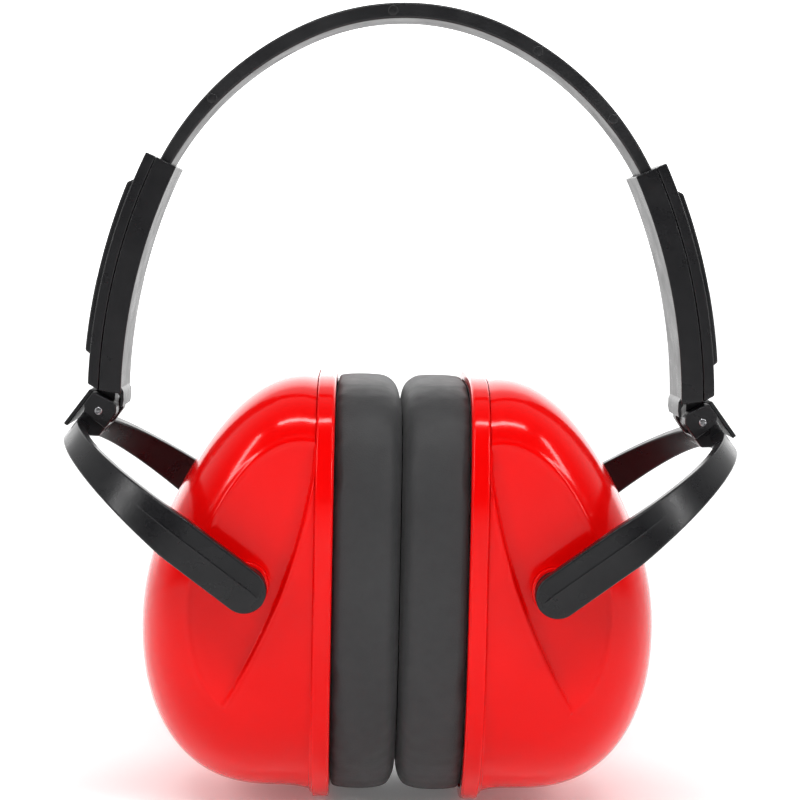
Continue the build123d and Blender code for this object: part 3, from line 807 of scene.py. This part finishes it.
# ---- cushion and lining ------------------------------------------------------------
def padded_cushion():
    """The cushion, blown up from a slack start and pressed flat against the other one."""
    verts, faces = closed_tube([oval(x, inset, 96) for x, inset in CUSHION_SECTION])
    start = place("cushion_start", verts, faces)
    remesh = start.modifiers.new("even", "REMESH")
    remesh.mode = "VOXEL"
    remesh.voxel_size = CUSHION_CELL * MM
    deps = bpy.context.evaluated_depsgraph_get()
    mesh = bpy.data.meshes.new_from_object(start.evaluated_get(deps))
    bpy.data.objects.remove(start)
    pad = bpy.data.objects.new("cushion_pad", mesh)
    bpy.context.scene.collection.objects.link(pad)
    rest = np.array([v.co for v in mesh.vertices])
    held = pad.vertex_groups.new(name="held")
    held.add([i for i, p in enumerate(rest) if p[0] > HELD_FROM * MM], 1.0, "REPLACE")
    cloth = pad.modifiers.new("cloth", "CLOTH")
    cloth.settings.quality = 6
    cloth.settings.mass = 0.2
    cloth.settings.tension_stiffness = 25
    cloth.settings.compression_stiffness = 25
    cloth.settings.bending_stiffness = 2
    cloth.settings.use_pressure = True
    cloth.settings.uniform_pressure_force = 4
    cloth.settings.vertex_group_mass = "held"
    cloth.settings.effector_weights.gravity = 0
    scene = bpy.context.scene
    for f in range(1, CLOTH_FRAMES + 1):
        scene.frame_set(f)
    deps = bpy.context.evaluated_depsgraph_get()
    swollen = np.array([v.co for v in pad.evaluated_get(deps).data.vertices])
    scene.frame_set(1)
    pad.modifiers.remove(cloth)
    moved = swollen - rest
    length = np.linalg.norm(moved, axis=1)
    cap = SWELL_CAP * MM
    scale = np.where(length > cap, cap / np.maximum(length, 1e-9), 1)
    rest = rest + moved * scale[:, None]
    rest[:, 0] = np.maximum(rest[:, 0], CUSHION_FACE * MM)
    rest[:, 0] = np.minimum(rest[:, 0], CUSHION_BACK * MM)
    faces = [list(p.vertices) for p in mesh.polygons]
    bpy.data.objects.remove(pad)
    return rest / MM, faces


def make_cushion(side, data):
    """A copy of the blown-up cushion, smoothed, on one cup."""
    obj = place(side + "_cushion", *data, SIDES[side])
    smooth = obj.modifiers.new("soften", "SMOOTH")
    smooth.factor = 0.4
    smooth.iterations = 1
    sub = obj.modifiers.new("fine", "SUBSURF")
    sub.levels = sub.render_levels = 1
    give(obj, VINYL, side + "_cup", "cushion_skin", side + "_cushion_skin", side + "_cushion_foam")


def make_lining(side):
    """The foam in the cup's bottom, held inside the wall."""
    rings = []
    centre = np.array((CUP_CENTRE[0], 0, CUP_CENTRE[1]))
    for x, inset in LINING_SECTION:
        ring = np.array(oval(x, inset, 96))
        ring[:, 2] = LINING_MIDDLE + (ring[:, 2] - CUP_CENTRE[1]) * LINING_SQUASH
        ring = ring - centre
        wall = dome(ring, WALL + LINING_GAP, False) - centre
        room = np.linalg.norm(wall, axis=1) / np.linalg.norm(ring, axis=1)
        rings.append(centre + ring * np.minimum(room, 1)[:, None])
    obj = place(side + "_lining", *tube(rings), SIDES[side])
    give(obj, FOAM, side + "_cup", "foam", side + "_cup_liner")


make_headband()
CUSHION = padded_cushion()
OUTSIDE = dome_shell(OUTSIDE_GRID)
INSIDE = dome_shell(INSIDE_GRID, WALL, False)
for each in SIDES:
    make_sleeve(each)
    make_yoke(each)
    make_studs(each)
    make_cup_shell(each, OUTSIDE, INSIDE)
    make_ring(each)
    make_cushion(each, CUSHION)
    make_lining(each)
    for node, material in ((each + "_click_spring", SPRING), (each + "_cushion_plate", INNER)):
        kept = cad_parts[node]
        kept.data.materials.clear()
        kept.data.materials.append(material)


# ---- studio ------------------------------------------------------------------------
def make_floor():
    """A wide pale disc that glows a little more the further back it lies."""
    rings = []
    for radius in FLOOR_RADII_M:
        ring = []
        for k in range(96):
            a = 2 * math.pi * k / 96
            ring.append((radius * math.cos(a) / MM, radius * math.sin(a) / MM, FLOOR_Z))
        rings.append(ring)
    verts, faces = tube(rings, capped=False)
    faces.append(list(range(len(rings[0])))[::-1])
    obj = place("studio_floor", verts, [f[::-1] for f in faces])
    material, tree, bsdf = node_tree("pale floor")
    tone = two_tone(tree, noise(tree, 3, 3), (0.93, 0.93, 0.93), (0.96, 0.96, 0.96))
    tree.links.new(tone, bsdf.inputs["Base Color"])
    bsdf.inputs["Roughness"].default_value = 0.9
    bsdf.inputs["Specular IOR Level"].default_value = 0.1
    split = tree.nodes.new("ShaderNodeSeparateXYZ")
    tree.links.new(object_place(tree), split.inputs[0])
    bsdf.inputs["Emission Color"].default_value = (1, 1, 1, 1)
    glow = spread(tree, split.outputs["Y"], -0.25, 1.4, 0, 0.7)
    tree.links.new(glow, bsdf.inputs["Emission Strength"])
    obj.data.materials.append(material)


def make_world():
    """A studio that is dark on the camera's side and bright behind the part."""
    world = bpy.data.worlds.new("studio")
    bpy.context.scene.world = world
    world.use_nodes = True
    tree = world.node_tree
    split = tree.nodes.new("ShaderNodeSeparateXYZ")
    tree.links.new(tree.nodes.new("ShaderNodeTexCoord").outputs["Generated"], split.inputs[0])
    ramp = tree.nodes.new("ShaderNodeFloatCurve")
    curve = ramp.mapping.curves[0]
    for at, level in WORLD_LEVELS[1:-1]:
        curve.points.new(at, level)
    curve.points[0].location = WORLD_LEVELS[0]
    curve.points[-1].location = WORLD_LEVELS[-1]
    ramp.mapping.update()
    tree.links.new(spread(tree, split.outputs["Y"], -1, 1, 0, 1), ramp.inputs["Value"])
    strength = tree.nodes["Background"].inputs["Strength"]
    tree.links.new(spread(tree, ramp.outputs["Value"], 0, 1, 0, WORLD_TOP), strength)
    tree.nodes["Background"].inputs["Color"].default_value = (1, 1, 1, 1)


def softbox(name, place_m, size, power):
    """A rectangular light, aimed at the part."""
    light = bpy.data.lights.new(name, "AREA")
    light.shape = "RECTANGLE"
    light.size, light.size_y = size
    light.energy = power
    obj = bpy.data.objects.new(name, light)
    obj.location = place_m
    aim = Vector(LIGHTS_LOOK_AT) - Vector(place_m)
    obj.rotation_euler = aim.to_track_quat("-Z", "Y").to_euler()
    bpy.context.scene.collection.objects.link(obj)


def make_camera():
    """The camera at the photograph's angle."""
    data = bpy.data.cameras.new("camera")
    data.lens = LENS
    data.sensor_width = SENSOR
    data.clip_start = 0.01
    cam = bpy.data.objects.new("camera", data)
    cam.location = CAMERA_AT
    look = Vector(CAMERA_LOOKS_AT) - cam.location
    roll = Quaternion((0, 0, 1), math.radians(CAMERA_ROLL))
    cam.rotation_mode = "QUATERNION"
    cam.rotation_quaternion = look.to_track_quat("-Z", "Y") @ roll
    bpy.context.scene.collection.objects.link(cam)
    bpy.context.scene.camera = cam


make_floor()
make_world()
for box in SOFTBOXES:
    softbox(*box)
make_camera()
bpy.context.scene.view_settings.view_transform = "Standard"
